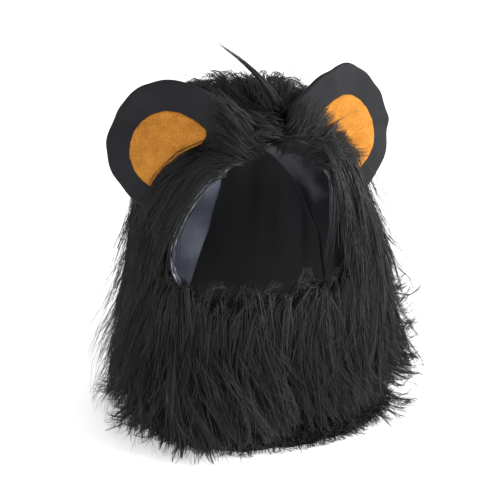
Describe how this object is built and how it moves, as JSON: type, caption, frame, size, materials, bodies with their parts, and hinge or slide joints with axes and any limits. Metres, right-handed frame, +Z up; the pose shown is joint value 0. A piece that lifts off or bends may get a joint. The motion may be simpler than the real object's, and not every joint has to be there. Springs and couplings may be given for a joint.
{
  "type": "pet lion mane wig",
  "caption": "Lined hood of long black faux fur for a cat or small dog, with an open face, a rolled fur hem round the neck and two padded ears.",
  "frame": {"origin": "on the surface that the wig stands on, under the middle of its whole outline", "axes": "+Z up through the crown, -Y out of the face opening, +X to the wearer's left"},
  "size_m": [0.1992, 0.1796, 0.2628],
  "materials": {
    "long_fur": "long glossy faux fur",
    "hem_fur": "short rolled faux fur",
    "satin": "smooth satin lining",
    "satin_binding": "gathered satin edge",
    "ear_cloth": "smooth short velour",
    "ear_fleece": "matt fleece"
  },
  "bodies": {
    "root": {"fur_coat": "long_fur", "fur_bib": "long_fur", "hem_roll": "hem_fur", "lining_left": "satin", "lining_center": "satin", "lining_right": "satin", "face_binding": "satin_binding", "ear_left_shell": "ear_cloth", "ear_left_inner": "ear_fleece", "ear_right_shell": "ear_cloth", "ear_right_inner": "ear_fleece"}
  },
  "joints": []
}
